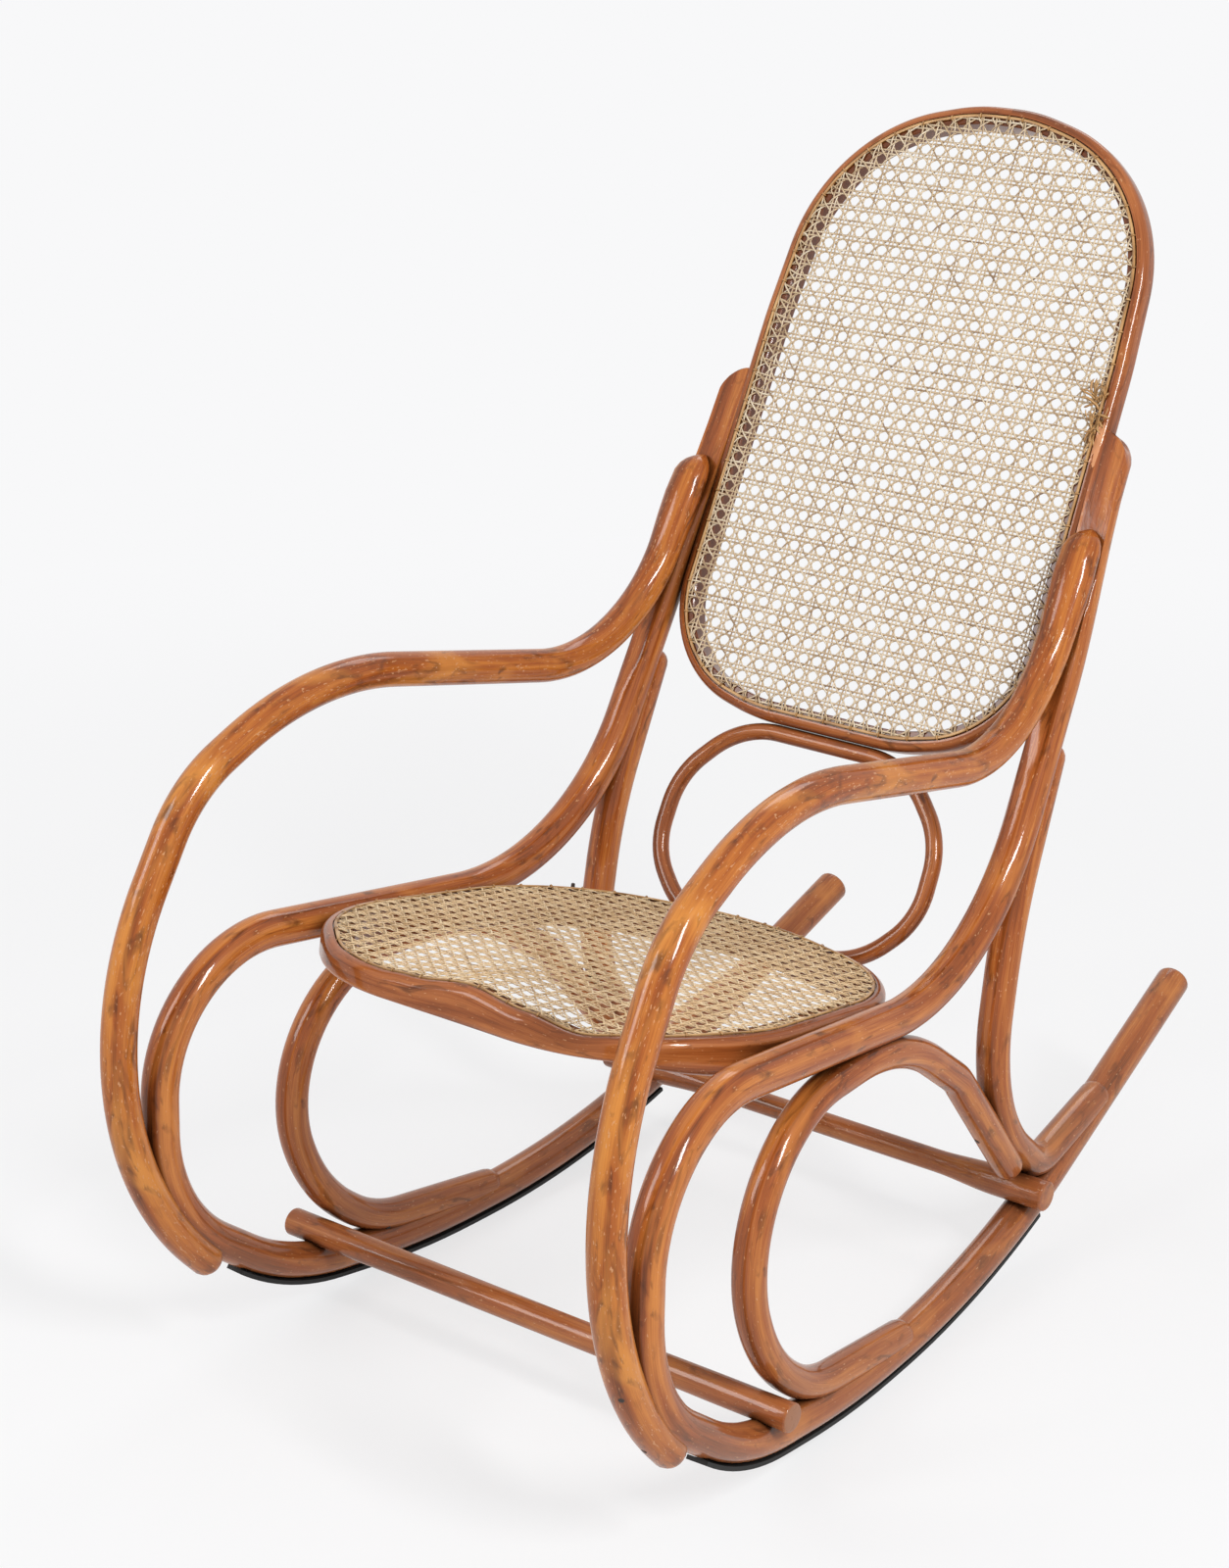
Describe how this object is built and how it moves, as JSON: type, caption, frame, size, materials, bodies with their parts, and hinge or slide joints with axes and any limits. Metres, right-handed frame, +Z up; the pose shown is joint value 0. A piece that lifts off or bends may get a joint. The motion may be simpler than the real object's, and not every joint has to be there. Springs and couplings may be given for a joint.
{
  "type": "rocking chair",
  "caption": "Bentwood rocking chair with a woven cane seat and back, curled side frames, a ring brace, turned stretchers and edge strips under the runners.",
  "frame": {"origin": "centre of the chair's own box on the floor plane", "axes": "+X to the sitter's left seen from the front, across the chair; the front faces -Y; +Z up"},
  "size_m": [0.558, 1.0255, 1.0239],
  "materials": {
    "bent_beech": "satin reddish-brown varnish",
    "frame_beech": "satin reddish-brown varnish",
    "ring_beech": "satin reddish-brown varnish",
    "cane": "aged woven rattan cane",
    "binding_cane": "glossy rattan binder",
    "runner_rubber": "matt black"
  },
  "bodies": {
    "root": {"side_rail_right": "bent_beech", "side_rail_left": "bent_beech", "arm_right": "bent_beech", "arm_left": "bent_beech", "scroll_right": "bent_beech", "scroll_left": "bent_beech", "rear_leg_right": "bent_beech", "rear_leg_left": "bent_beech", "runner_strip_right": "runner_rubber", "runner_strip_left": "runner_rubber", "front_stretcher": "bent_beech", "rear_stretcher": "bent_beech", "back_ring": "ring_beech", "seat_frame": "frame_beech", "seat_cane": "cane", "seat_cane_binding": "binding_cane", "back_frame": "frame_beech", "back_cane": "cane", "back_cane_binding": "binding_cane"}
  },
  "joints": []
}
